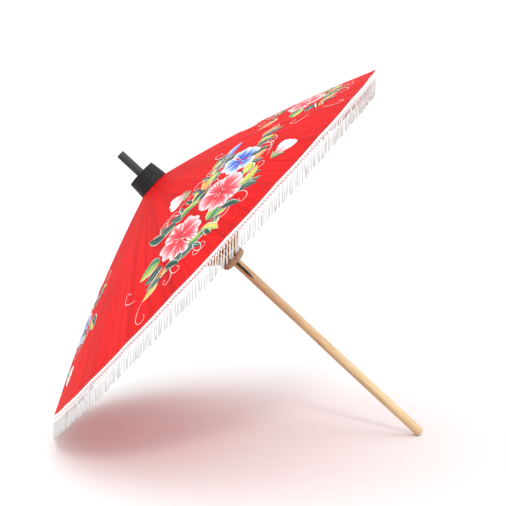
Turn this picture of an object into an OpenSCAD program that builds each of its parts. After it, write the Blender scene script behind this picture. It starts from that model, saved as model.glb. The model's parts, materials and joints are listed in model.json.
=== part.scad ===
// Oil paper umbrella: a folding parasol with a slatted frame, resting open on its fringe and its stick.
// Every piece is drawn along the stick, from its lower end upward, and place() then tilts the whole.

/* [Canopy] */
// Number of ribs, and of struts
ribs = 24; // [16:2:24]
// Radius of the rim at a rib
rim_r = 400; // [360:5:440]
// Height of the rim above the stick's lower end
rim_h = 495; // [480:5:520]
// Rise of the canopy from the rim to the head cap
canopy_rise = 141; // [130:1:150]
// How far the middle of each rib bows out of straight
canopy_bow = 8.5; // [4:0.5:10]
// Thickness of the oiled cloth
canopy_t = 0.8; // [0.6:0.1:1]

/* [Fringe] */
// Drop of the fringe, header and strands together
fringe_drop = 40; // [30:1:45]
// Drop of the woven header alone
header_drop = 10; // [6:1:12]
// Thickness of the fringe
fringe_t = 1.4; // [1:0.1:2]

/* [Stick] */
// Radius of the hand grip
grip_r = 8.4; // [8.2:0.1:9]
// Length of the hand grip
grip_l = 240; // [200:5:245]
// Radius of the stick where the runner slides
stick_r = 8; // [7.8:0.1:8.1]
// Radius of the black rod above the head cap
finial_r = 7.6; // [7:0.1:7.7]
// Length of the black rod above the head cap
finial_l = 49; // [40:1:60]

/* [Head cap] */
// Radius of the head cap at its base
cap_r = 29.5; // [28:0.5:32]
// Radius of the head cap near its top
cap_top_r = 27; // [26:0.5:29]
// Height of the head cap
cap_h = 31; // [28:1:35]

/* [Runner] */
// Height of the runner's underside above the stick's lower end
runner_z = 441; // [438:1:444]
// Length of the runner
runner_l = 60; // [56:1:62]
// Radius of the runner's slotted drum
runner_r = 23.5; // [23:0.5:25]

/* [Folding frame] */
// Distance of the rib hinges from the axis
hub_pivot_r = 19.5; // [19:0.5:20]
// Distance of the strut hinges from the axis
runner_pivot_r = 18; // [17.5:0.5:18.5]
// Distance from the axis at which a strut meets its rib
joint_r = 165; // [155:5:175]

/* [Hidden] */
$fn = 48;
rib_names = [for (i = [1:ribs]) str("rib_", i < 10 ? "0" : "", i)];
strut_names = [for (i = [1:ribs]) str("strut_", i < 10 ? "0" : "", i)];

bite = 1;                           // how far a cut runs past the surface it opens
step = 360 / ribs;                  // angle from one rib to the next
cap_z = rim_h + canopy_rise;        // where the head cap meets the canopy
top_z = cap_z + cap_h + finial_l;   // the black rod's upper end
throat_r = 24.5;                    // the canopy's central hole, under the head cap
rib_gap = 0.45;                     // between a rib's back and the cloth
rib_tip_r = rim_r - 5.5;            // the rib stops short of the hem
tongue_w = 2.4;                     // width of a rib in its hub slot
neck_w = 3.4;                       // width of a rib near the hub
rib_w = 5.2;                        // width of a rib from there to its tip
neck_from = 28.5;                   // distances from the axis at which a rib widens
rib_from = 92;
rib_depth = 7;                      // depth of a rib up to the joint
tip_depth = 3.6;                    // depth of a rib at its tip
root_r = 3.2;                       // rounded root of a rib
hub_pivot_z = rib_back(hub_pivot_r) - 3.5;
joint_z = rib_back(joint_r) - 4;
thread_r = 0.55;
thread_hole_r = 0.95;
rib_slot_w = 2.9;                   // the slot that a strut folds through
rib_slot_from = joint_r - 33;
rib_slot_to = joint_r + 38;
strut_w = 2.3;
strut_r = 2.6;                      // half the depth of a strut, and its rounded ends
drum_z = runner_z + 8;              // the runner's drum stands on a rounded base
drum_h = 19;
runner_pivot_z = drum_z + 9;
runner_foot_r = 10;
runner_neck_r = 13.2;
hub_slot_w = 3;
hub_r = 23.2;
hub_neck_r = 12.5;
hub_flange = [hub_pivot_z - 7, hub_pivot_z + 11];
hub_bottom = hub_pivot_z - 36;
hub_top = cap_z + 24;
end_r = 5;                          // rounding of the stick's lower end
catch_slot_z = runner_z - 41;       // pointed lower end of the catch's slot
catch_point = 12;                    // length of that point
catch_slot_top = runner_z + 16;
catch_slot_w = 5;
catch_slot_depth = 10.5;
catch_w = 2.6;
catch_pivot = [-1.2, runner_z - 25];  // across and along the stick, at the spring's foot
cap_gap = 0.15;                     // between the head cap and the cloth
fit_gap = 0.05;                     // all round a piece that is fixed in a hole
slide_gap = 0.35;                   // all round the stick, inside the runner
hub_slot_depth = 4.2;                // how far inside the thread a rib's slot is cut
runner_slot_depth = 3.6;
groove_w = 1.6;                      // groove that the thread lies in
slot_reach = 40;                     // length of the cut for a slot, past any outer surface
hub_peg_r = 1.5;
hub_peg_z = hub_bottom + 8;
catch_pin_r = 0.65;

// Outer surface of the canopy along a rib, as a height for each distance from the axis
function canopy_z(r) = let (t = (rim_r - r) / (rim_r - cap_r))
    rim_h + canopy_rise * t + 4 * canopy_bow * t * (1 - t);
function rib_back(r) = canopy_z(r) - canopy_t - rib_gap;
function rib_depth_at(r) = r < joint_r ? rib_depth
    : rib_depth + (tip_depth - rib_depth) * (r - joint_r) / (rib_tip_r - joint_r);

// Tilt of the stick above the floor, from standing on the lowest fringe panel and the rounded end
panel_r = (rim_r + 1 + fringe_t) * cos(step / 2);
fringe_top_z = rim_h - canopy_t - 0.3;
rest_a = fringe_top_z - end_r;
rest_b = panel_r - (grip_r - end_r);
tilt = atan2(rest_b, rest_a) + asin((fringe_drop - end_r) / norm([rest_a, rest_b]));
floor_z = end_r * sin(tilt) - (grip_r - end_r) * cos(tilt) - end_r;
left_x = -fringe_top_z * cos(tilt) - panel_r * sin(tilt);
right_x = (grip_r - end_r) * sin(tilt) - end_r * cos(tilt) + end_r;
down = [-cos(tilt), 0, -sin(tilt)];  // straight down, as seen along the tilted stick

module place() {
    translate([-(left_x + right_x) / 2, 0, -floor_z]) rotate([0, tilt - 90, 0]) children();
}

// A closed ring through matching cross-sections
module band(sections) {
    n = len(sections);
    k = len(sections[0]);
    polyhedron(
        points = [for (s = sections) each s],
        faces = [for (i = [0:n - 1], j = [0:k - 1])
            [i * k + j, i * k + (j + 1) % k, (i + 1) % n * k + (j + 1) % k, (i + 1) % n * k + j]]
    );
}

function rib_angle(i) = (i - 0.5) * step;
function spun(r, z, a) = [r * cos(a), r * sin(a), z];

// Straight hanging panels between the rib tips, from one drop below the rim to another
module hanging_ring(from, to, thick) {
    inner = rim_r + 1;
    outer = inner + thick;
    band([for (i = [1:ribs]) let (
        a = rib_angle(i),
        in = spun(inner, fringe_top_z, a),
        out = spun(outer, fringe_top_z, a)
    ) [in + down * from, out + down * from, out + down * to, in + down * to]]);
}

module turned(profile) {
    rotate_extrude($fn = 96) polygon(profile);
}

module radial_slots(pivot_r, width, low, high, depth) {
    for (i = [1:ribs]) rotate([0, 0, rib_angle(i)])
        translate([pivot_r - depth, -width / 2, low]) cube([slot_reach, width, high - low]);
}

// A quarter-round of points about a centre, from one angle to another
function arc(x, y, r, from, to, n = 8) =
    [for (i = [0:n]) let (a = from + (to - from) * i / n) [x + r * cos(a), y + r * sin(a)]];

module shaft() {
    place() color("burlywood") difference() {
        turned(concat(
            [[0, 0]],
            arc(grip_r - end_r, end_r, end_r, -90, 0),
            [[grip_r, grip_l], [stick_r, grip_l + 1.5], [stick_r, cap_z + cap_h], [finial_r, cap_z + cap_h]],
            arc(finial_r - 1.2, top_z - 1.2, 1.2, 0, 90, 4),
            [[0, top_z]]
        ));
        // slot for the catch, pointed at its lower end
        translate([0, -stick_r - bite, 0]) rotate([-90, 0, 0]) linear_extrude(catch_slot_depth + bite)
            polygon([
                [0, -catch_slot_z],
                [catch_slot_w / 2, -catch_slot_z - catch_point],
                [catch_slot_w / 2, -catch_slot_top],
                [-catch_slot_w / 2, -catch_slot_top],
                [-catch_slot_w / 2, -catch_slot_z - catch_point]
            ]);
        hub_peg(hub_peg_r + fit_gap, 4 * stick_r);
        catch_pin(catch_pin_r + fit_gap, 4 * stick_r);
    }
}

// The peg that holds the hub on the stick runs across it one way
module hub_peg(r, length) {
    translate([0, 0, hub_peg_z]) rotate([90, 0, 0]) cylinder(r = r, h = length, center = true);
}

// The pin that holds the foot of the catch runs across it the other way
module catch_pin(r, length) {
    translate([0, catch_pivot[0], catch_pivot[1]]) rotate([0, 90, 0])
        cylinder(r = r, h = length, center = true);
}

module pegs() {
    place() color("tan") {
        hub_peg(hub_peg_r, 2 * hub_neck_r - 1);
        catch_pin(catch_pin_r, 2 * stick_r - 1);
    }
}

module top_hub() {
    place() color("peru") difference() {
        turned([
            [stick_r + fit_gap, hub_bottom],
            [hub_neck_r - 1, hub_bottom],
            [hub_neck_r, hub_bottom + 1],
            [hub_neck_r, hub_flange[0]],
            [hub_r, hub_flange[0]],
            [hub_r, hub_flange[1]],
            [hub_r - 4, hub_flange[1] + 4],
            [hub_r - 4, hub_top],
            [stick_r + fit_gap, hub_top]
        ]);
        radial_slots(hub_pivot_r, hub_slot_w, hub_flange[0] - bite, hub_flange[1] + bite + 4, hub_slot_depth);
        thread_groove(hub_pivot_r, hub_pivot_z, hub_r);
        hub_peg(hub_peg_r + fit_gap, 4 * hub_neck_r);
    }
}

module thread_groove(r, z, outer) {
    translate([0, 0, z - groove_w / 2]) difference() {
        cylinder(r = outer + bite, h = groove_w);
        translate([0, 0, -bite]) cylinder(r = r - groove_w / 2, h = groove_w + 2 * bite);
    }
}

module hub_thread() {
    place() color("ivory") translate([0, 0, hub_pivot_z])
        rotate_extrude($fn = 96) translate([hub_pivot_r, 0]) circle(thread_r);
}

module runner_thread() {
    place() color("ivory") translate([0, 0, runner_pivot_z])
        rotate_extrude($fn = 96) translate([runner_pivot_r, 0]) circle(thread_r);
}

module runner() {
    place() color("tan") difference() {
        turned(concat(
            [[stick_r + slide_gap, runner_z], [runner_foot_r, runner_z]],
            [for (a = [15:15:90])
                [runner_foot_r + (runner_r - runner_foot_r) * sin(a), drum_z - (drum_z - runner_z) * cos(a)]],
            [[runner_r, drum_z + drum_h - 1.5], [runner_r - 1.5, drum_z + drum_h]],
            [[runner_neck_r, drum_z + drum_h], [runner_neck_r, runner_z + runner_l - 1]],
            [[runner_neck_r - 1, runner_z + runner_l], [stick_r + slide_gap, runner_z + runner_l]]
        ));
        radial_slots(runner_pivot_r, hub_slot_w, drum_z + 3, runner_z + runner_l - 6, runner_slot_depth);
        thread_groove(runner_pivot_r, runner_pivot_z, runner_r);
    }
}

// The cap follows the canopy's slope where it rests on it, and is hollow over the hub
module head_cap() {
    place() color("black") turned(concat(
        [[cap_r - 3, canopy_z(cap_r - 3) + cap_gap], [cap_r, canopy_z(cap_r) + cap_gap]],
        [[cap_r, cap_z + 4], [cap_top_r, cap_z + cap_h - 4]],
        arc(cap_top_r - 3, cap_z + cap_h - 3, 3, 0, 90, 5),
        [[stick_r + fit_gap, cap_z + cap_h], [stick_r + fit_gap, hub_top + 0.5], [cap_r - 6, hub_top + 0.5]],
        [[cap_r - 4, cap_z + 12]]
    ));
}

module canopy() {
    rings = 10;
    rs = [for (k = [0:rings]) throat_r + (rim_r - throat_r) * k / rings];
    place() color("red") band([for (i = [1:ribs]) let (a = rib_angle(i)) concat(
        [for (r = rs) spun(r, canopy_z(r) - canopy_t, a)],
        [for (k = [rings:-1:0]) spun(rs[k], canopy_z(rs[k]), a)]
    )]);
}

// The cord under the hem, a length between each rib and the next
module rim_cord() {
    r = rim_r - 2;
    chord = 2 * r * sin(step / 2) - 7;
    place() color("ivory") for (i = [1:ribs]) rotate([0, 0, i * step])
        translate([r * cos(step / 2), 0, rim_h - canopy_t - 1])
            rotate([90, 0, 0]) cylinder(r = 0.5, h = chord, center = true);
}

module fringe_header() {
    place() color("white") hanging_ring(0, header_drop, fringe_t);
}

module fringe() {
    place() color("white") hanging_ring(header_drop, fringe_drop, fringe_t);
}

// The springy tongue that holds the runner up, with a nose that stands out under it
module catch_spring() {
    nose_z = runner_z - 1.2;
    place() color("sienna") translate([-catch_w / 2, 0, 0]) rotate([90, 0, 90]) linear_extrude(catch_w)
        difference() {
            polygon([
                [catch_pivot[0] + 1.4, catch_pivot[1] - 2.5],
                [catch_pivot[0] + 1.6, catch_pivot[1] + 3],
                [-stick_r + 2.6, nose_z - 3],
                [-stick_r + 2.2, nose_z],
                [-stick_r - 2.6, nose_z],
                [-stick_r - 2.9, nose_z - 1.6],
                [-stick_r + 0.4, nose_z - 9],
                [catch_pivot[0] - 1.6, catch_pivot[1] + 3],
                [catch_pivot[0] - 1.6, catch_pivot[1] - 2.5]
            ]);
            translate(catch_pivot) circle(catch_pin_r + fit_gap);
        }
}

// A slab of the rib between two distances from the axis
module rib_slab(from, to, width) {
    parts = max(2, ceil((to - from) / 32));
    rs = [for (k = [0:parts]) from + (to - from) * k / parts];
    rotate([90, 0, 0]) linear_extrude(width, center = true) polygon(concat(
        [for (r = rs) [r, rib_back(r)]],
        [for (k = [parts:-1:0]) [rs[k], rib_back(rs[k]) - rib_depth_at(rs[k])]]
    ));
}

module thread_hole(r, z) {
    translate([r, 0, z]) rotate([90, 0, 0]) cylinder(r = thread_hole_r, h = 4 * rib_w, center = true);
}

module rib(i) {
    place() rotate([0, 0, rib_angle(i)]) color("wheat") difference() {
        union() {
            translate([hub_pivot_r, 0, hub_pivot_z]) rotate([90, 0, 0])
                cylinder(r = root_r, h = tongue_w, center = true);
            rib_slab(hub_pivot_r, neck_from, tongue_w);
            rib_slab(neck_from, rib_from, neck_w);
            rib_slab(rib_from, rib_tip_r, rib_w);
        }
        translate([rib_slot_from, -rib_slot_w / 2, rim_h])
            cube([rib_slot_to - rib_slot_from, rib_slot_w, canopy_rise]);
        thread_hole(hub_pivot_r, hub_pivot_z);
        thread_hole(joint_r, joint_z);
    }
}

module strut(i) {
    reach = [joint_r - runner_pivot_r, joint_z - runner_pivot_z];
    length = norm(reach);
    place() rotate([0, 0, rib_angle(i)]) color("wheat") difference() {
        translate([runner_pivot_r, 0, runner_pivot_z]) rotate([0, -atan2(reach[1], reach[0]), 0])
            rotate([90, 0, 0]) linear_extrude(strut_w, center = true) union() {
                circle(strut_r);
                translate([0, -strut_r]) square([length, 2 * strut_r]);
                translate([length, 0]) circle(strut_r);
            }
        thread_hole(runner_pivot_r, runner_pivot_z);
        thread_hole(joint_r, joint_z);
    }
}

shaft();
pegs();
top_hub();
hub_thread();
head_cap();
canopy();
rim_cord();
fringe_header();
fringe();
runner();
runner_thread();
catch_spring();
for (i = [1:ribs]) {
    rib(i);
    strut(i);
}
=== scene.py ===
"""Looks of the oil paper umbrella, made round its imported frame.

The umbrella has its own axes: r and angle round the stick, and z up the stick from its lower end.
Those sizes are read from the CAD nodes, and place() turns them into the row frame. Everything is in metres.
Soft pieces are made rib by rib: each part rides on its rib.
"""
import json
import math
import random

import bmesh
import bpy
import numpy as np
from mathutils import Matrix, Vector, noise


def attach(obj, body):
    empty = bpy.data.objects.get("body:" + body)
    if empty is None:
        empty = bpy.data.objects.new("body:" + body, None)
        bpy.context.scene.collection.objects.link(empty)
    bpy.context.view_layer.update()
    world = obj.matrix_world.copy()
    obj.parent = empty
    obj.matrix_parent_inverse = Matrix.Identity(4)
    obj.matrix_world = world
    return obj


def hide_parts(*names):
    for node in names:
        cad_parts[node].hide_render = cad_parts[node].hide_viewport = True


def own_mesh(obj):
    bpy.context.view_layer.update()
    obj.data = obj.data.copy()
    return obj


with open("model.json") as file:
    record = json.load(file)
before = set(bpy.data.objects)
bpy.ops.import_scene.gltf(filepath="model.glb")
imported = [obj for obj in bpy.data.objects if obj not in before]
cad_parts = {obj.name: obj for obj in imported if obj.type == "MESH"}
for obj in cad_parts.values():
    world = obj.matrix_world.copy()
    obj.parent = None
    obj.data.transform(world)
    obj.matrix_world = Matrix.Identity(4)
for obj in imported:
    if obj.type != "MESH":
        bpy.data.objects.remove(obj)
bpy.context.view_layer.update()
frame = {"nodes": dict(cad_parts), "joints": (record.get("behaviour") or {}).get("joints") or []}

MM = 0.001
DOWN = Vector((0, 0, -1))
draw = random.Random(11)

# ---------------------------------------------------------------- the umbrella's own axes, from the frame
joints = {j["name"]: j for j in frame["joints"]}
hinges = [j for j in frame["joints"] if j["name"].startswith("rib_")]
RIBS = len(hinges)
STEP = 2 * math.pi / RIBS
HALF = STEP / 2
ALONG = -Vector(joints["runner_slide"]["axis"]).normalized()  # up the stick
SIDE = Vector((0, 1, 0))
OUT = SIDE.cross(ALONG)  # square to the stick, on its upper side
HUB = sum((Vector(j["pos_m"]) for j in hinges), Vector()) / RIBS


def corners(node):
    """A CAD node's vertices, as numpy rows in the row frame."""
    return np.array([v.co for v in frame["nodes"][node].data.vertices], float)


def own(node):
    """A CAD node's vertices as rows of distance from the stick's axis and height up the stick."""
    away = corners(node) - np.array(FOOT)
    height = away @ np.array(ALONG)
    across = np.linalg.norm(away - np.outer(height, ALONG), axis=1)
    return np.stack([across, height], 1)


FOOT = HUB + ALONG * ((corners("shaft") - np.array(HUB)) @ np.array(ALONG)).min()
canopy_points = own("canopy")
cap_points = own("head_cap")
RIM_R = canopy_points[:, 0].max()
THROAT_R = canopy_points[:, 0].min()
CAP_R = cap_points[:, 0].max()
CAP_TOP = cap_points[:, 1].max()


def top_height(radius):
    """Height of the CAD canopy's outer side at the ring of its vertices nearest a radius."""
    rings = canopy_points[:, 0]
    ring = rings[np.abs(rings - radius).argmin()]
    return ring, canopy_points[np.abs(rings - ring) < 0.1 * MM, 1].max()


OUTER_SIDE = np.polyfit(*zip(top_height(THROAT_R), top_height((THROAT_R + RIM_R) / 2), top_height(RIM_R)), 2)
RIM_Z = np.polyval(OUTER_SIDE, RIM_R)
CLOTH_T = RIM_Z - canopy_points[canopy_points[:, 0] > RIM_R - 0.1 * MM, 1].min()
CAP_BASE = np.polyval(OUTER_SIDE, CAP_R)
CONE = RIM_R / math.hypot(RIM_R, np.polyval(OUTER_SIDE, 0) - RIM_Z)  # radius for each unit of slant
GORE_SAG = 1.0 * MM  # how far the cloth sinks between two ribs at the rim
ROUND = 0.6  # share of the way out from straight between two ribs to a full circle


def place(r, angle, z):
    """A point in the row frame, from the umbrella's own r, angle and z."""
    return FOOT + OUT * (r * math.cos(angle)) + SIDE * (r * math.sin(angle)) + ALONG * z


def rib_angle(i):
    return (i - 0.5) * STEP


def radial(angle):
    """The direction away from the stick at an angle round it."""
    return OUT * math.cos(angle) + SIDE * math.sin(angle)


def sideways(angle):
    """The direction round the stick at an angle round it."""
    return -OUT * math.sin(angle) + SIDE * math.cos(angle)


def cloth(r, angle, lift=0.0):
    """A point of the cloth's outer side, or lifted off it. The cloth sinks a little between two ribs."""
    turn = (angle / STEP + 0.5) % 1
    off = abs(turn - round(turn)) * STEP  # angle from the nearest rib
    across = min(1, off / HALF)
    sag = GORE_SAG * (r / RIM_R) * across * (2 - across) * gather(r)
    slope = np.polyval(np.polyder(OUTER_SIDE), r)
    lean = math.hypot(1, slope)
    chord = r * (ROUND + (1 - ROUND) * math.cos(HALF) / math.cos(HALF - off))
    raised = lift - sag
    return place(chord - raised * slope / lean, angle, np.polyval(OUTER_SIDE, r) + raised / lean)


def gather(r):
    """The cloth lies flat under the head cap, and is free to sink further out."""
    return min(1, max(0, (r - CAP_R) / (60 * MM)))


# ---------------------------------------------------------------- meshes
def add_mesh(name, points, faces, smooth=True, sharp=None):
    mesh = bpy.data.meshes.new(name)
    mesh.from_pydata([tuple(p) for p in points], [], faces)
    if smooth:
        mesh.shade_smooth()
        if sharp:
            mesh.set_sharp_from_angle(angle=math.radians(sharp))
    piece = bpy.data.objects.new(name, mesh)
    bpy.context.scene.collection.objects.link(piece)
    return piece


def grid_faces(rows, columns, start=0, closed=False):
    """Faces of a grid of points, row by row; closed joins each row's end to its start."""
    wide = columns if closed else columns - 1
    return [
        (start + i * columns + j, start + i * columns + (j + 1) % columns,
         start + (i + 1) * columns + (j + 1) % columns, start + (i + 1) * columns + j)
        for i in range(rows - 1) for j in range(wide)
    ]


class Bundle:
    """Collects tubes and strips into one mesh."""

    def __init__(self):
        self.points, self.faces = [], []

    def tube(self, path, radii, sides=5):
        """A closed tube along a path, with a radius at each point."""
        start, rows = len(self.points), len(path)
        for k, (p, radius) in enumerate(zip(path, radii)):
            ahead = path[min(k + 1, rows - 1)] - path[max(k - 1, 0)]
            a = ahead.orthogonal().normalized()
            b = ahead.normalized().cross(a)
            for s in range(sides):
                turn = 2 * math.pi * s / sides
                self.points.append(p + (a * math.cos(turn) + b * math.sin(turn)) * radius)
        self.faces += grid_faces(rows, sides, start, closed=True)
        self.faces += [tuple(start + s for s in reversed(range(sides)))]
        self.faces += [tuple(start + (rows - 1) * sides + s for s in range(sides))]

    def shell(self, grid, thickness, outward):
        """A closed sheet: a grid of points, and the same grid a thickness behind it."""
        rows, columns = len(grid), len(grid[0])
        start, count = len(self.points), rows * columns
        flat = [p for row in grid for p in row]
        self.points += flat + [p - outward * thickness for p in flat]
        front = grid_faces(rows, columns, start)
        self.faces += front + [tuple(count + v for v in reversed(f)) for f in front]
        edge = list(range(columns))
        edge += [i * columns + columns - 1 for i in range(1, rows)]
        edge += [(rows - 1) * columns + j for j in range(columns - 2, -1, -1)]
        edge += [i * columns for i in range(rows - 2, 0, -1)]
        for a, b in zip(edge, edge[1:] + edge[:1]):
            self.faces.append((start + b, start + a, start + count + a, start + count + b))

    def make(self, name, **kind):
        return add_mesh(name, self.points, self.faces, **kind)


def outwards(piece):
    """Turns every closed part of a mesh to face outward."""
    made = bmesh.new()
    made.from_mesh(piece.data)
    bmesh.ops.recalc_face_normals(made, faces=made.faces)
    made.to_mesh(piece.data)
    made.free()
    return piece


# ---------------------------------------------------------------- materials
class Nodes:
    """A material's node tree, with short calls for the nodes used here."""

    def __init__(self, name, roughness=0.5, **values):
        self.mat = bpy.data.materials.new(name)
        self.mat.use_nodes = True
        self.tree = self.mat.node_tree
        self.shader = self.tree.nodes["Principled BSDF"]
        self.out = self.tree.nodes["Material Output"]
        self.shader.inputs["Roughness"].default_value = roughness
        for socket, value in values.items():
            self.shader.inputs[socket.replace("_", " ")].default_value = value

    def node(self, kind, links=(), **settings):
        n = self.tree.nodes.new(kind)
        for key, value in settings.items():
            if hasattr(n, key):
                setattr(n, key, value)
            else:
                n.inputs[key.replace("_", " ")].default_value = value
        for socket, source in dict(links).items():
            self.tree.links.new(source, n.inputs[socket])
        return n

    def place(self, along=ALONG, stretch=(1, 1, 1), centre=(0, 0, 0)):
        """Object coordinates turned so that Z runs along a direction, then stretched."""
        x = Vector(along).orthogonal().normalized()
        turn = Matrix((x, Vector(along).cross(x), Vector(along))).to_euler()
        coordinates = self.node("ShaderNodeTexCoord").outputs["Object"]
        moved = self.node("ShaderNodeVectorMath", {0: coordinates}, operation="SUBTRACT")
        moved.inputs[1].default_value = centre
        turned = self.node("ShaderNodeMapping", {"Vector": moved.outputs[0]})
        turned.inputs["Rotation"].default_value = turn
        scaled = self.node("ShaderNodeMapping", {"Vector": turned.outputs[0]})
        scaled.inputs["Scale"].default_value = stretch
        return scaled.outputs[0]

    def scaled(self, where, stretch):
        n = self.node("ShaderNodeVectorMath", {0: where}, operation="MULTIPLY")
        n.inputs[1].default_value = stretch
        return n.outputs[0]

    def noise(self, where, scale, detail=4.0, rough=0.55):
        n = self.node("ShaderNodeTexNoise", {"Vector": where}, Scale=scale, Detail=detail, Roughness=rough)
        return n.outputs["Fac"]

    def ramp(self, source, *stops):
        """A colour ramp: stops are (place, colour)."""
        n = self.node("ShaderNodeValToRGB", {0: source})
        while len(n.color_ramp.elements) < len(stops):
            n.color_ramp.elements.new(0.5)
        for element, (at, colour) in zip(n.color_ramp.elements, stops):
            element.position = at
            element.color = (*colour, 1)
        return n.outputs["Color"]

    def mix(self, share, a, b, blend="MIX"):
        n = self.node("ShaderNodeMix", data_type="RGBA", blend_type=blend)
        for index, value in ((0, share), (6, a), (7, b)):
            if isinstance(value, (int, float)):
                n.inputs[index].default_value = value
            elif isinstance(value, tuple):
                n.inputs[index].default_value = (*value, 1)
            else:
                self.tree.links.new(value, n.inputs[index])
        return n.outputs[2]

    def math(self, operation, a, b=0.0):
        n = self.node("ShaderNodeMath", operation=operation)
        for index, value in ((0, a), (1, b)):
            if isinstance(value, (int, float)):
                n.inputs[index].default_value = value
            else:
                self.tree.links.new(value, n.inputs[index])
        return n.outputs[0]

    def colour(self, source):
        self.tree.links.new(source, self.shader.inputs["Base Color"])

    def roughness(self, source, low, high):
        n = self.node("ShaderNodeMapRange", {"Value": source}, To_Min=low, To_Max=high)
        self.tree.links.new(n.outputs[0], self.shader.inputs["Roughness"])

    def bump(self, source, depth, strength=1.0):
        n = self.node("ShaderNodeBump", {"Height": source}, Strength=strength, Distance=depth)
        self.tree.links.new(n.outputs[0], self.shader.inputs["Normal"])


def stick_wood():
    """Pale turned wood with a fine grain along the stick, and black lacquer on the rod above the cap."""
    m = Nodes("stick_wood", 0.42, Coat_Weight=0.18, Coat_Roughness=0.35)
    here = m.place(stretch=(1, 1, 0.05), centre=FOOT)
    broad = m.noise(here, 190, 3)
    fine = m.noise(here, 900, 5)
    pores = m.ramp(m.noise(here, 1700, 2), (0.58, (1, 1, 1)), (0.68, (0.42, 0.28, 0.16)))
    wood = m.ramp(broad, (0.32, (0.40, 0.26, 0.12)), (0.5, (0.56, 0.40, 0.20)), (0.68, (0.68, 0.52, 0.29)))
    wood = m.mix(0.35, wood, m.ramp(fine, (0.35, (0.42, 0.27, 0.12)), (0.65, (0.74, 0.58, 0.36))))
    wood = m.mix(0.45, wood, pores, "MULTIPLY")
    height = m.node("ShaderNodeSeparateXYZ", {0: m.place(centre=FOOT)}).outputs[2]
    worn = m.math("ADD", height, m.math("MULTIPLY", fine, 1.5 * MM))
    black = m.math("GREATER_THAN", worn, CAP_TOP - 6 * MM)
    lacquer = m.ramp(fine, (0.35, (0.003, 0.003, 0.003)), (0.7, (0.014, 0.014, 0.014)))
    m.colour(m.mix(black, wood, lacquer))
    m.roughness(fine, 0.34, 0.55)
    m.bump(m.math("ADD", fine, broad), 0.25 * MM, 0.6)
    return m.mat


def bamboo(along):
    """Split bamboo, its fibres along the strip."""
    m = Nodes("bamboo", 0.5, Coat_Weight=0.1, Coat_Roughness=0.4)
    here = m.place(along, (1, 1, 0.03), HUB)
    fibres = m.noise(here, 1500, 4)
    patches = m.noise(m.place(along, (1, 1, 0.4), HUB), 60, 3)
    straw = m.ramp(fibres, (0.3, (0.42, 0.26, 0.10)), (0.5, (0.63, 0.44, 0.20)), (0.72, (0.78, 0.60, 0.33)))
    m.colour(m.mix(m.math("MULTIPLY", patches, 0.35), straw, (0.55, 0.33, 0.14)))
    m.roughness(patches, 0.38, 0.62)
    m.bump(fibres, 0.2 * MM, 0.6)
    return m.mat


def turned_wood():
    """Dry wood turned on a lathe: rings round the axis, brownish, and smoked darker in patches."""
    m = Nodes("turned_wood", 0.6)
    here = m.place(stretch=(1, 1, 0.12), centre=FOOT)
    grain = m.noise(here, 420, 5)
    stains = m.noise(m.place(stretch=(1, 1, 0.5), centre=FOOT), 55, 3)
    rings = m.noise(m.place(stretch=(0.04, 0.04, 1), centre=FOOT), 900, 2)
    wood = m.ramp(grain, (0.32, (0.22, 0.14, 0.075)), (0.5, (0.42, 0.29, 0.17)), (0.7, (0.60, 0.45, 0.28)))
    wood = m.mix(m.ramp(stains, (0.42, (0, 0, 0)), (0.62, (0.55, 0.55, 0.55))), wood, (0.33, 0.14, 0.08))
    m.colour(m.mix(0.25, wood, m.ramp(rings, (0.4, (0.5, 0.4, 0.3)), (0.6, (1, 1, 1))), "MULTIPLY"))
    m.roughness(stains, 0.5, 0.75)
    m.bump(m.math("ADD", rings, grain), 0.3 * MM, 0.7)
    return m.mat


def slot_shade_bamboo():
    """A strip of bamboo with its fibres, coloured near black: painted shade of the slot in the stick that it
    sits in.
    """
    m = Nodes("slot_shade_bamboo", 0.6)
    fibres = m.noise(m.place(stretch=(1, 1, 0.05), centre=FOOT), 1500, 4)
    m.colour(m.ramp(fibres, (0.3, (0.030, 0.014, 0.008)), (0.7, (0.085, 0.042, 0.022))))
    return m.mat


def black_lacquer():
    """Rough brushed black lacquer."""
    m = Nodes("black_lacquer", 0.55, Specular_IOR_Level=0.25)
    strokes = m.noise(m.place(stretch=(0.25, 0.25, 1), centre=FOOT), 700, 4)
    blots = m.noise(m.place(centre=FOOT), 160, 4)
    m.colour(m.ramp(blots, (0.35, (0.002, 0.002, 0.002)), (0.72, (0.013, 0.012, 0.012))))
    m.roughness(blots, 0.4, 0.72)
    m.bump(m.math("ADD", strokes, blots), 0.6 * MM, 0.7)
    return m.mat


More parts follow.
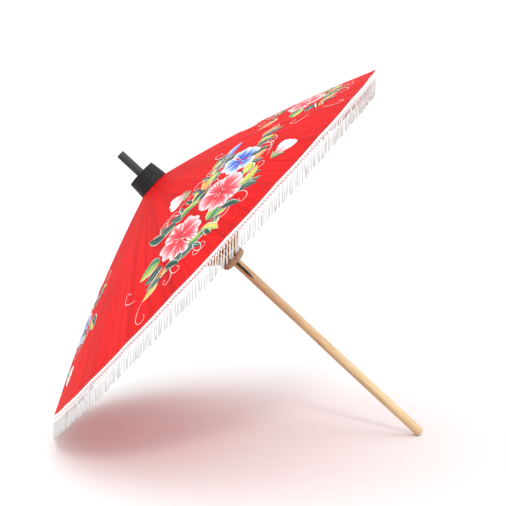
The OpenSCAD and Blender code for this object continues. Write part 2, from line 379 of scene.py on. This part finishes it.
def oiled_cloth():
    """Bright red oiled cotton, brushed and pleated towards the cap, with a little light through it."""
    m = Nodes("oiled_cloth", 0.5, Specular_IOR_Level=0.3, Sheen_Weight=0.03)
    here = m.place(centre=FOOT)
    own_axes = m.node("ShaderNodeSeparateXYZ", {0: here})
    turn = m.math("ARCTAN2", own_axes.outputs[1], own_axes.outputs[0])
    polar = m.node("ShaderNodeCombineXYZ", {0: turn, 2: own_axes.outputs[2]}).outputs[0]
    streaks = m.noise(m.scaled(polar, (60, 0, 3)), 1, 5, 0.6)
    pleats = m.noise(m.scaled(polar, (26, 0, 1.2)), 1, 3, 0.5)
    cloudy = m.noise(here, 14, 4)
    red = m.ramp(cloudy, (0.35, (0.84, 0.005, 0.008)), (0.65, (0.93, 0.010, 0.014)))
    red = m.mix(m.ramp(streaks, (0.42, (0, 0, 0)), (0.62, (0.75, 0.75, 0.75))), red, (0.70, 0.006, 0.011))
    red = m.mix(m.ramp(pleats, (0.5, (0, 0, 0)), (0.7, (0.6, 0.6, 0.6))), red, (0.96, 0.018, 0.024))
    m.colour(red)
    m.roughness(streaks, 0.40, 0.60)
    weave = m.noise(here, 1500, 2)
    fine = m.math("ADD", weave, m.math("MULTIPLY", streaks, 3.0))
    m.bump(m.math("ADD", m.math("MULTIPLY", pleats, 14.0), fine), 0.12 * MM, 0.6)
    through = m.node("ShaderNodeBsdfTranslucent", {"Color": red})
    both = m.node("ShaderNodeMixShader", {1: m.shader.outputs[0], 2: through.outputs[0]}, Fac=0.65)
    m.tree.links.new(both.outputs[0], m.out.inputs["Surface"])
    return m.mat


def painted_oil():
    """Oil paint laid on the cloth with a loaded brush; its colours are on the strokes."""
    m = Nodes("painted_oil", 0.5, Specular_IOR_Level=0.2)
    paint = m.node("ShaderNodeAttribute", attribute_name="paint").outputs["Color"]
    hairs = m.noise(m.place(centre=FOOT), 900, 4)
    m.colour(m.mix(m.math("MULTIPLY", hairs, 0.25), paint, m.mix(1.0, paint, (0.72, 0.70, 0.70), "MULTIPLY")))
    m.roughness(hairs, 0.42, 0.6)
    m.bump(hairs, 0.15 * MM, 0.5)
    return m.mat


def cotton(name, tint, depth):
    """White cotton: soft, with a fine twist."""
    m = Nodes(name, 0.8, Specular_IOR_Level=0.25, Sheen_Weight=0.1, Sheen_Roughness=0.5)
    here = m.place(DOWN, (1, 1, 0.25), FOOT)
    twist = m.noise(here, 1600, 3)
    m.colour(m.ramp(twist, (0.35, tuple(0.86 * c for c in tint)), (0.62, tint)))
    m.roughness(twist, 0.6, 0.85)
    m.bump(twist, depth, 0.6)
    return m.mat


# ---------------------------------------------------------------- canopy
# The cloth's bands: from, to, rings of cells, and the share of its width that each keeps when folded.
BANDS = ((THROAT_R, 60 * MM, 4, 0.42), (60 * MM, 100 * MM, 4, 0.31), (100 * MM, 170 * MM, 8, 0.24),
         (170 * MM, RIM_R, 32, 0.165))
ACROSS = 14  # cells across one rib's share of the cloth
HEM = 7 * MM


def tangent(i):
    """The direction across rib i."""
    return sideways(rib_angle(i))


def fold(piece, i, keep):
    """The piece rides on rib i, with a mesh of its own."""
    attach(piece, f"rib_{i:02d}")
    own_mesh(piece)


def hem_lift(r):
    """The hem's second layer of cloth, turned under at the rim."""
    return 0.35 * MM * min(1, max(0, (r - (RIM_R - HEM)) / (0.6 * MM)))


def make_canopy(material):
    """The cloth, four bands for each rib."""
    for i in range(1, RIBS + 1):
        for band, (low, high, rings, keep) in enumerate(BANDS):
            rs = [low + (high - low) * k / rings for k in range(rings + 1)]
            if high == RIM_R:
                rs = rs[:-1] + [RIM_R - HEM, RIM_R - HEM + 0.6 * MM, RIM_R]
            angles = [rib_angle(i) + HALF * (2 * k / ACROSS - 1) for k in range(ACROSS + 1)]
            grid = [[cloth(r, a, hem_lift(r)) for a in angles] for r in rs]
            bundle = Bundle()
            bundle.shell(grid, CLOTH_T, ALONG)
            if high == RIM_R:
                turned_down = [[hang(a, d * MM, 0.5 * MM) for a in angles] for d in (-0.2, 2, 4, 6, 8.2)]
                bundle.shell(turned_down, 0.4 * MM, radial(rib_angle(i)))
            piece = outwards(bundle.make(f"canopy_{i:02d}_band_{band + 1}", sharp=50))
            piece.data.materials.append(material)
            fold(piece, i, keep)
    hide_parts("canopy")


# ---------------------------------------------------------------- painted flowers
WHITE = (0.80, 0.77, 0.76)
PINK = (0.78, 0.24, 0.28)
RED = (0.74, 0.035, 0.060)
CRIMSON = (0.42, 0.006, 0.022)
BLUE = (0.020, 0.070, 0.48)
SKY = (0.25, 0.42, 0.80)
TEAL = (0.003, 0.045, 0.042)
GREEN = (0.020, 0.22, 0.07)
LIME = (0.32, 0.48, 0.06)
YELLOW = (0.72, 0.55, 0.06)
ORANGE = (0.70, 0.19, 0.03)
DARK = (0.006, 0.016, 0.018)
PAINT_LIFT = 0.14 * MM
COAT_LIFT = 0.05 * MM
FOLD_PAINT = 0.15  # share of its width that the paint keeps when folded


def between(a, b, t):
    t = min(1, max(0, t))
    return tuple(x + (y - x) * t for x, y in zip(a, b))


def blend_colours(colours, t):
    """A colour along a list of them, t from 0 to 1."""
    t = min(0.9999, max(0, t)) * (len(colours) - 1)
    return between(colours[int(t)], colours[int(t) + 1], t % 1)


class Painting:
    """Brush strokes on the cloth. Each stroke is drawn flat, round a point of the cloth, and laid on it.

    Flowers, leaves, buds and tendrils take millimetres and degrees; the rest takes metres and radians.
    """

    def __init__(self):
        self.points, self.faces, self.colours, self.coat = [], [], [], 0

    def lay(self, spot, x, y, lift):
        """A point of the cloth, from flat distances off a spot (r, angle): x round the rim, y to the cap."""
        slant = spot[0] / CONE
        r = math.hypot(x, slant - y) * CONE
        angle = spot[1] + math.atan2(x, slant - y) / CONE
        return cloth(min(r, RIM_R - 1 * MM), angle, lift)

    def patch(self, spot, rows, columns, shape, colour):
        """A grid of paint, with its flat place shape(t, v) and its colour(t, v), t and v from 0 to 1."""
        start = len(self.points)
        lift = PAINT_LIFT + COAT_LIFT * (self.coat % 12)
        self.coat += 1
        for i in range(rows + 1):
            for j in range(columns + 1):
                t, v = i / rows, j / columns
                self.points.append(self.lay(spot, *shape(t, v), lift))
                self.colours.append(colour(t, v))
        self.faces += grid_faces(rows + 1, columns + 1, start)

    def petal(self, spot, heading, reach, spread, colours, ruffle):
        """A broad petal from its flower's middle: a fan with a wavy edge, brushed from its edge inward."""
        phase = draw.uniform(0, 6)
        pulls = [(draw.uniform(9, 38), draw.uniform(0, 6), draw.uniform(0.06, 0.13)) for _ in range(4)]

        def shape(t, v):
            side = 2 * v - 1
            notch = 0.07 * math.exp(-30 * side ** 2)
            edge = reach * (1 - 0.30 * side ** 4 + ruffle * math.sin(6 * side + phase) - notch)
            a = heading + spread * side * (0.5 + 0.5 * t)
            return edge * t * math.cos(a), edge * t * math.sin(a)

        def colour(t, v):
            side = 2 * v - 1
            streak = sum(depth * math.sin(pull * side + at) for pull, at, depth in pulls)
            rim = max(0, abs(side) - 0.66) / 0.34
            return blend_colours(colours, max(t ** 1.4 + streak * min(1, 1.6 * t), rim * min(1, 1.8 * t)))

        self.patch(spot, 11, 18, shape, colour)

    def line(self, spot, path, width, colour, end=0.25):
        """A brushed line along a flat path, thick in the middle and thin at its ends."""
        def shape(t, v):
            at = min(len(path) - 1.001, t * (len(path) - 1))
            k, part = int(at), at % 1
            (x0, y0), (x1, y1) = path[k], path[k + 1]
            dx, dy = x1 - x0, y1 - y0
            long = math.hypot(dx, dy) or 1
            half = width * (v - 0.5) * (end + (1 - end) * math.sin(math.pi * min(1, max(0, t))))
            return x0 + dx * part - dy / long * half, y0 + dy * part + dx / long * half

        self.patch(spot, 2 * len(path), 1, shape, lambda t, v: colour)

    def flower(self, r, degrees, reach, petals, colours, heart, turn=0.0):
        """An open blossom with broad petals, and stamens of one colour in its middle."""
        spot = (r * MM, math.radians(degrees))
        for k in range(petals):
            heading = turn + 2 * math.pi * k / petals + draw.uniform(-0.12, 0.12)
            spread = math.pi / petals * draw.uniform(1.05, 1.2)
            self.petal(spot, heading, reach * MM * draw.uniform(0.88, 1.06), spread, colours, 0.035)
        for k in range(2 * petals):
            heading = turn + math.pi * k / petals + draw.uniform(-0.15, 0.15)
            long = reach * MM * draw.uniform(0.16, 0.27)
            bow = draw.choice((-0.5, 0.5))
            path = [
                (long * t * math.cos(heading + bow * t), long * t * math.sin(heading + bow * t))
                for t in (0.2, 0.4, 0.6, 0.8, 1.0)
            ]
            self.line(spot, path, 0.9 * MM, heart)
            self.dot(spot, path[-1], 1.3 * MM, heart)

    def dot(self, spot, centre, radius, colour):
        def shape(t, v):
            a = 2 * math.pi * v
            return centre[0] + radius * t * math.cos(a), centre[1] + radius * t * math.sin(a)

        self.patch(spot, 1, 8, shape, lambda t, v: colour)

    def leaf(self, r, degrees, heading, long, wide, colours, bend=0.35, edge=WHITE):
        """A leaf from its stalk end: one loaded stroke, dark on one side and light on the other."""
        spot = (r * MM, math.radians(degrees))
        h = math.radians(heading)
        long, wide = long * MM, wide * MM
        phase = draw.uniform(0, 6)

        def spine(t):
            a = h + bend * (t - 0.5)
            return long * t * math.cos(a), long * t * math.sin(a), a

        def shape(t, v):
            x, y, a = spine(t)
            half = wide * math.sin(math.pi * t ** 0.8) ** 0.85 * (1 + 0.06 * math.sin(14 * t + phase))
            off = half * (v - 0.5)
            return x - off * math.sin(a), y + off * math.cos(a)

        def colour(t, v):
            streak = 0.10 * math.sin(23 * v + 5 * t + phase)
            shade = blend_colours(colours, 0.75 * v + 0.3 * t + streak)
            return between(shade, edge, (abs(v - 0.5) * 2 - 0.82) / 0.18 * (0.5 + 0.5 * (v > 0.5)))

        self.patch(spot, 12, 7, shape, colour)
        vein = [spine(t)[:2] for t in (0.05, 0.25, 0.45, 0.65, 0.85)]
        self.line(spot, vein, 0.7 * MM, between(edge, colours[-1], 0.3))

    def bud(self, r, degrees, heading, long, colours):
        """A closed bud: two petals, held in a green calyx."""
        spot = (r * MM, math.radians(degrees))
        h = math.radians(heading)
        for side in (-0.22, 0.22, 0):
            self.petal(spot, h + side, long * MM, 0.34, colours, 0.02)
        for side in (-0.55, 0.55, 0.0):
            self.leaf(r, degrees, heading + math.degrees(side), 0.5 * long, 0.2 * long, CALYX, side)

    def tendril(self, r, degrees, heading, long, curl, width=1.0, colour=WHITE):
        """A thin line that winds up towards its end."""
        spot = (r * MM, math.radians(degrees))
        a, x, y, path = math.radians(heading), 0.0, 0.0, []
        steps = 22
        for k in range(steps + 1):
            path.append((x, y))
            x += long * MM / steps * math.cos(a)
            y += long * MM / steps * math.sin(a)
            a += curl / steps * (0.35 + 3.0 * (k / steps) ** 2.5)
        self.line(spot, path, width * MM, colour, 0.35)
        self.dot(spot, path[-1], 1.1 * width * MM, colour)

    def dress(self, material):
        """Cuts the painting between the ribs, so that each rib carries its share."""
        mesh = bpy.data.meshes.new("painting")
        mesh.from_pydata([tuple(p) for p in self.points], [], self.faces)
        layer = mesh.color_attributes.new("paint", "FLOAT_COLOR", "POINT")
        layer.data.foreach_set("color", [c for colour in self.colours for c in (*colour, 1)])
        whole = bmesh.new()
        whole.from_mesh(mesh)
        for face in whole.faces:
            if face.normal.dot(ALONG) < 0:
                face.normal_flip()
        for i in range(1, RIBS + 1):
            share = whole.copy()
            for side in (-1, 1):
                a = rib_angle(i) + side * HALF
                normal = sideways(a) * side
                every = share.verts[:] + share.edges[:] + share.faces[:]
                bmesh.ops.bisect_plane(share, geom=every, plane_co=FOOT, plane_no=normal, clear_outer=True)
            ahead = radial(rib_angle(i))
            behind = [v for v in share.verts if (v.co - FOOT).dot(ahead) < 0]
            bmesh.ops.delete(share, geom=behind, context="VERTS")
            if not share.faces:
                share.free()
                continue
            mesh = bpy.data.meshes.new(f"paint_{i:02d}")
            share.to_mesh(mesh)
            share.free()
            mesh.shade_smooth()
            piece = bpy.data.objects.new(mesh.name, mesh)
            bpy.context.scene.collection.objects.link(piece)
            mesh.materials.append(material)
            thick = piece.modifiers.new("coat", "SOLIDIFY")
            thick.thickness = 0.6 * PAINT_LIFT
            thick.offset = -1
            fold(piece, i, FOLD_PAINT)
        whole.free()


ROSE = (CRIMSON, RED, RED, PINK, WHITE)
ROSE_PALE = (RED, PINK, WHITE, WHITE)
BLUES = (BLUE, BLUE, SKY, WHITE)
CALYX = (TEAL, GREEN, LIME)
LEAF_DARK = (DARK, TEAL, GREEN)
LEAF_GREEN = (TEAL, GREEN, LIME, YELLOW)
LEAF_GOLD = (GREEN, LIME, YELLOW, ORANGE)
LEAF_FALL = (DARK, ORANGE, YELLOW)
LEAVES = (LEAF_DARK, LEAF_GREEN, LEAF_DARK, LEAF_GOLD, LEAF_DARK, LEAF_FALL)


def leafy_edge(art, at, big, start, end, radius, outward):
    """Leaves and winding tendrils along a side of a spray, radius(d) from the axis at d degrees along it."""
    d, k = start, draw.randrange(6)
    while d < end:
        r = radius(d)
        forward = draw.random() < 0.6
        slope = outward * draw.uniform(8, 48)
        heading = slope if forward else 180 - slope
        long = draw.uniform(30, 46) * (0.6 + 0.4 * big)
        wide = long * draw.uniform(0.36, 0.52)
        art.leaf(r, at + d * big, heading, long, wide, LEAVES[k % 6], draw.choice((-0.6, 0.6)))
        if k % 2:
            short = draw.uniform(20, 30) * (0.6 + 0.4 * big)
            turned = heading + outward * 50
            art.leaf(r - outward * 9, at + (d + 1) * big, turned, short, 0.45 * short, LEAVES[(k + 3) % 6])
        if k % 3:
            aside = outward * draw.uniform(35, 80)
            away = aside if forward else 180 - aside
            art.tendril(r, at + d * big, away, draw.uniform(50, 76), draw.choice((-4.8, 4.8)))
        d += draw.uniform(2.3, 3.3) / big
        k += 1


def spray(art, at, big=1.0):
    """Two open red blossoms and a blue one on a tied bundle of stems, with buds and leaves."""
    for k, tint in enumerate((DARK, WHITE, ORANGE, YELLOW, DARK, WHITE, TEAL)):
        spot = ((338 - 3 * k) * MM, math.radians(at - (20 + 0.3 * k) * big))
        path = [(-6 * MM * j * big, (-0.9 * j + (k - 3) * 0.35 * (3 - j)) * MM) for j in range(8)]
        art.line(spot, path, 2.6 * MM, tint)
    leafy_edge(art, at, big, -24, 12, lambda d: 330 - 0.16 * max(0, d) ** 1.9, -1)
    leafy_edge(art, at, big, -20, 30, lambda d: 250 - 1.2 * max(0, d), 1)
    leafy_edge(art, at, big, 14, 34, lambda d: 292 - 1.6 * (d - 14), -1)
    art.leaf(300, at - 22 * big, 160, 48 * big, 30 * big, LEAF_GREEN, 0.5)
    art.leaf(312, at - 22 * big, 195, 40 * big, 20 * big, LEAF_DARK, -0.4)
    art.leaf(322, at - 5 * big, 25, 44 * big, 26 * big, LEAF_GREEN, 0.5)
    art.leaf(308, at + 12 * big, 20, 40 * big, 22 * big, LEAF_GOLD, 0.5)
    art.leaf(222, at + 22 * big, 20, 50 * big, 18 * big, BLUES, -0.3)
    art.bud(202, at + 2 * big, 155, 46 * big, ROSE_PALE)
    art.bud(338, at + 18 * big, 350, 46 * big, ROSE_PALE)
    art.flower(296, at - 13 * big, 45 * big, 5, ROSE, WHITE, 0.5)
    art.flower(291, at + 4.5 * big, 44 * big, 5, ROSE, WHITE, 0.1)
    art.flower(266, at + 19 * big, 36 * big, 5, BLUES, WHITE, 0.7)
    art.tendril(348, at - 30 * big, 215, 70 * big, 4.4)
    art.tendril(330, at - 33 * big, 170, 60 * big, -4.4)
    art.tendril(318, at + 20 * big, 10, 74 * big, 3.6)


def paint_flowers(material):
    """Five groups round the canopy, given as the angle each is painted round, and its size."""
    art = Painting()
    for degrees, big in ((-77, 1.0), (-9, 0.85), (59, 0.9), (122, 0.85), (187, 0.9)):
        spray(art, degrees, big)
    art.dress(material)


# ---------------------------------------------------------------- rim: cord and fringe
RIBBON_T = 1.0 * MM  # thickness of the woven ribbon
RIBBON = 4.2 * MM  # drop of the woven ribbon
NET = 10 * MM  # drop to the knots
DROP = 40 * MM  # drop to the strands' ends
KNOTS = 18  # tassels on each rib's share of the rim
STRANDS = 5  # strands in a tassel
FOLD_RIM = 0.12  # share of its width that the rim keeps when folded
FOLD_STRANDS = 0.06  # and the strands


def rim(angle, out=0.0):
    """A point on the rim's upper edge."""
    return cloth(RIM_R, angle) + radial(angle) * out


def make_rim_cord(material):
    for i in range(1, RIBS + 1):
        bundle = Bundle()
        for side in (-1, 1):
            path = [
                rim(rib_angle(i) + side * HALF * t, -2 * MM) - ALONG * (CLOTH_T + 0.9 * MM)
                for t in (0.08, 0.3, 0.5, 0.7, 0.85, 1.0)
            ]
            bundle.tube(path, [0.5 * MM] * len(path), 8)
        piece = bundle.make(f"rim_cord_{i:02d}", sharp=60)
        piece.data.materials.append(material)
        fold(piece, i, FOLD_RIM)
    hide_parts("rim_cord")


def hang(angle, drop, out=1.6 * MM, lean=0.0):
    """A point that hangs from the rim: drop below it, and lean along it."""
    return rim(angle, out) + DOWN * drop + sideways(angle) * lean


def make_header(i, material):
    """The ribbon sewn over the rim's edge, and the net of threads that the tassels hang from."""
    first, share = rib_angle(i) - HALF, STEP / KNOTS
    angles = [first + STEP * k / 36 for k in range(37)]
    bundle = Bundle()
    drops = [RIBBON * k / 4 for k in range(-1, 5)]
    grid = [
        [hang(a, max(d, -0.6 * MM), (1.7 + 0.15 * (k % 2)) * MM) for a in angles]
        for k, d in enumerate(drops)
    ]
    bundle.shell(grid, RIBBON_T, radial(rib_angle(i)))
    for k in range(KNOTS):
        middle = first + (k + 0.5) * share
        knot = NET + draw.uniform(-0.4, 0.4) * MM
        for side in (-1, 1):
            edge = middle + side * 0.46 * share
            path = [hang(edge + (middle - edge) * t, RIBBON - 0.4 * MM + (knot - RIBBON) * t, 1.3 * MM)
                    for t in (0, 0.3, 0.7, 1)]
            bundle.tube(path, [0.75 * MM, 0.6 * MM, 0.65 * MM, 0.8 * MM], 5)
        path = [hang(middle, knot + d * MM, 1.3 * MM) for d in (-1.0, 0.0, 1.2)]
        bundle.tube(path, [0.8 * MM, 1.25 * MM, 0.9 * MM], 6)
    piece = outwards(bundle.make(f"fringe_header_{i:02d}", sharp=55))
    piece.data.materials.append(material)
    fold(piece, i, FOLD_RIM)
    return piece


def make_strands(i, material):
    """Loose strands in tassels, each leaning its own way and cut a little unevenly."""
    first, share = rib_angle(i) - HALF, STEP / KNOTS
    bundle = Bundle()
    for k in range(KNOTS):
        middle = first + (k + 0.5) * share
        tassel_lean = draw.gauss(0, 1.7) * MM
        tassel_drop = DROP - 4.0 * MM * draw.random() ** 2
        width = draw.uniform(0.30, 0.72)
        for s in range(STRANDS):
            off = (s + 0.5) / STRANDS - 0.5
            spread = off * share * width
            lean = tassel_lean + off * 0.8 * MM + draw.gauss(0, 0.4) * MM
            deep = draw.uniform(-0.8, 0.8) * MM
            end = min(tassel_drop - 2.2 * MM * draw.random(), rim(middle).z - 0.3 * MM)
            wave = draw.uniform(-0.5, 0.5) * MM
            path = []
            for t in (0, 0.2, 0.45, 0.7, 0.88, 1):
                drop = NET + (end - NET) * t
                swing = lean * t * t + wave * math.sin(7 * t)
                path.append(hang(middle + spread * min(1, 2.5 * t), drop, 1.3 * MM + deep * t, swing))
            thin = draw.uniform(0.40, 0.60) * MM
            bundle.tube(path, [0.8 * thin, thin, 1.1 * thin, thin, 0.9 * thin, 0.4 * thin], 4)
    piece = outwards(bundle.make(f"fringe_{i:02d}"))
    piece.data.materials.append(material)
    fold(piece, i, FOLD_STRANDS)
    return piece


def make_fringe(ribbon, strand):
    headers, strands = [], []
    for i in range(1, RIBS + 1):
        headers.append(make_header(i, ribbon))
        strands.append(make_strands(i, strand))
    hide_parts("fringe_header")
    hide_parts("fringe")


# ---------------------------------------------------------------- head cap
def make_cap(material):
    """The cap, built up of lacquered paper: lumpy, with a soft top edge and a few wound ridges."""
    rod = 7.7 * MM  # radius where the cap's top meets the rod
    soft = 1.8 * MM  # rounding of the top edge
    foot = CAP_BASE + 1.5 * MM
    wall = CAP_TOP - soft - CAP_BASE - 1.5 * MM
    profile = [(THROAT_R + 1 * MM, np.polyval(OUTER_SIDE, THROAT_R + 1 * MM) + 0.2 * MM)]
    profile += [(CAP_R - 0.6 * MM, CAP_BASE + 0.2 * MM), (CAP_R, CAP_BASE + 1.2 * MM)]
    top_r = np.sort(cap_points[cap_points[:, 1] > CAP_TOP - 6 * MM, 0])[-1]
    sides = 26
    for k in range(sides + 1):
        t = k / sides
        profile.append((CAP_R + (top_r - CAP_R) * t, foot + wall * t))
    for k in range(1, 8):
        a = math.pi / 2 * k / 7
        profile.append((top_r - soft * (1 - math.cos(a)), CAP_TOP - soft * (1 - math.sin(a))))
    for k in range(1, 12):
        dome = CAP_TOP + 0.6 * MM * math.sin(math.pi * k / 11)
        profile.append((top_r - soft + (rod - top_r + soft) * k / 11, dome))
    profile += [(rod, CAP_TOP - 3 * MM), (THROAT_R - 2 * MM, CAP_TOP - 5 * MM)]
    profile += [(THROAT_R - 1 * MM, CAP_BASE + 6 * MM)]
    turns, points = 120, []
    for r, z in profile:
        for s in range(turns):
            a = 2 * math.pi * s / turns
            at = Vector((math.cos(a) * r, math.sin(a) * r, z))
            lump = noise.fractal(at / (9 * MM), 1.0, 2.0, 4) * 0.45 * MM
            ridge = 0.16 * MM * math.sin((z - CAP_BASE) / (1.1 * MM) + 2 * noise.noise(at / (14 * MM)))
            free = r > rod + 0.5 * MM and z > CAP_BASE + 0.6 * MM and (r > THROAT_R or z > CAP_TOP - 2 * MM)
            points.append(place(min(r + (lump + ridge - 0.35 * MM if free else 0), CAP_R), a, z))
    piece = add_mesh("head_cap_lacquered", points, grid_faces(len(profile), turns, closed=True)
                     + [((len(profile) - 1) * turns + s, (len(profile) - 1) * turns + (s + 1) % turns,
                         (s + 1) % turns, s) for s in range(turns)], sharp=60)
    outwards(piece)
    piece.data.materials.append(material)
    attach(piece, "frame")
    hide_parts("head_cap")


# ---------------------------------------------------------------- wooden parts and threads
def dress_nodes(looks):
    """Gives each CAD node its material."""
    for name, node in frame["nodes"].items():
        kind = name if name in looks else name.split("_")[0]
        if kind in looks:
            node.data.materials.clear()
            node.data.materials.append(looks[kind])


def bamboo_materials():
    """One bamboo for each rib and strut, so that its fibres run along it."""
    for i in range(1, RIBS + 1):
        for kind in ("rib", "strut"):
            name = f"{kind}_{i:02d}"
            points = corners(name)
            centred = points - points.mean(0)
            along = Vector(np.linalg.eigh(centred.T @ centred)[1][:, -1])
            material = bamboo(along)
            node = frame["nodes"][name]
            node.data.materials.clear()
            node.data.materials.append(material)


STRUT_END_R = 2.6 * MM  # rounding of a strut's end


def make_joint_threads(material):
    """The thread that ties each strut into its rib: a loop through both, knotted beside them."""
    for i in range(1, RIBS + 1):
        pivot = strut_end(i)
        t = tangent(i)
        ahead = radial(rib_angle(i))
        bundle = Bundle()
        bundle.tube([pivot + t * (x * MM) for x in (-3.4, -1.5, 0, 1.5, 3.4)], [0.55 * MM] * 5, 8)
        for side in (-1, 1):
            centre = pivot + t * (side * 3.3 * MM)
            loop = [centre + (ahead * math.cos(q) + ALONG * math.sin(q)) * (0.9 * MM)
                    for q in [2 * math.pi * k / 10 for k in range(9)]]
            bundle.tube(loop, [0.6 * MM] * len(loop), 6)
        piece = bundle.make(f"joint_thread_{i:02d}", sharp=60)
        piece.data.materials.append(material)
        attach(piece, f"rib_{i:02d}")


def strut_end(i):
    """Where strut i meets its rib: the point of the strut farthest from its hinge, less its rounded end."""
    hinge = Vector(joints[f"strut_{i:02d}_hinge"]["pos_m"])
    points = corners(f"strut_{i:02d}")
    far = Vector(points[np.linalg.norm(points - np.array(hinge), axis=1).argmax()])
    t = tangent(i)
    far -= t * (far - hinge).dot(t)
    long = (far - hinge).length
    return hinge + (far - hinge) * ((long - STRUT_END_R) / long)


# ---------------------------------------------------------------- floor, light and camera
def make_floor():
    """A plain white floor."""
    m = Nodes("floor_white", 0.9)
    m.shader.inputs["Base Color"].default_value = (0.66, 0.66, 0.66, 1)
    m.shader.inputs["Specular IOR Level"].default_value = 0.0
    size = 30.0
    floor = add_mesh("floor", [(-size, -size, 0), (size, -size, 0), (size, size, 0), (-size, size, 0)],
                     [(0, 1, 2, 3)], smooth=False)
    floor.data.materials.append(m.mat)


def make_light():
    """A white studio, with broad soft lights above and to the right, and a harder one in front."""
    world = bpy.data.worlds.new("studio")
    world.use_nodes = True
    world.node_tree.nodes["Background"].inputs["Color"].default_value = (1, 1, 1, 1)
    world.node_tree.nodes["Background"].inputs["Strength"].default_value = 1.2
    bpy.context.scene.world = world
    add_sun("overhead", 1.0, 85, (-0.10, -0.12, 1))
    add_sun("front", 0.9, 10, (0, -1.2, 1))
    add_sun("right", 0.5, 50, (1, -0.3, 0.85))


def add_sun(name, energy, spread, towards):
    light = bpy.data.lights.new(name, "SUN")
    light.energy = energy
    light.angle = math.radians(spread)
    lamp = bpy.data.objects.new(name, light)
    lamp.rotation_euler = Vector(towards).to_track_quat("Z", "Y").to_euler()
    bpy.context.scene.collection.objects.link(lamp)


def make_camera():
    """At the photograph's viewing angle, a little above the floor and square to the stick's slope."""
    camera = bpy.data.objects.new("camera", bpy.data.cameras.new("camera"))
    bpy.context.scene.collection.objects.link(camera)
    aim = Vector((0.0158, 0, 0.3173))
    distance, rise, swing, roll = 1.904, math.radians(5.5), math.radians(-0.77), math.radians(0.87)
    sight = Vector((math.sin(swing) * math.cos(rise), math.cos(swing) * math.cos(rise), -math.sin(rise)))
    camera.location = aim - sight * distance
    turn = sight.to_track_quat("-Z", "Y").to_matrix()
    camera.rotation_euler = (turn @ Matrix.Rotation(roll, 3, "Z")).to_euler()
    camera.data.sensor_width = 36
    camera.data.angle = math.radians(25.94)
    camera.data.clip_end = 100
    bpy.context.scene.camera = camera


def main():
    scene = bpy.context.scene
    scene.view_settings.view_transform = "Standard"
    make_camera()
    make_light()
    make_floor()
    white = cotton("white_thread", (0.86, 0.83, 0.76), 0.1 * MM)
    turned = turned_wood()
    dress_nodes({
        "shaft": stick_wood(), "pegs": turned, "top_hub": turned, "runner": turned, "hub_thread": white,
        # the catch spring is coloured near black: painted shade of its slot
        "runner_thread": white, "catch_spring": slot_shade_bamboo(),
    })
    bamboo_materials()
    make_joint_threads(white)
    make_cap(black_lacquer())
    make_canopy(oiled_cloth())
    paint_flowers(painted_oil())
    make_rim_cord(white)
    ribbon = cotton("white_ribbon", (0.78, 0.765, 0.765), 0.15 * MM)
    make_fringe(ribbon, cotton("white_strands", (0.64, 0.625, 0.622), 0.15 * MM))


main()
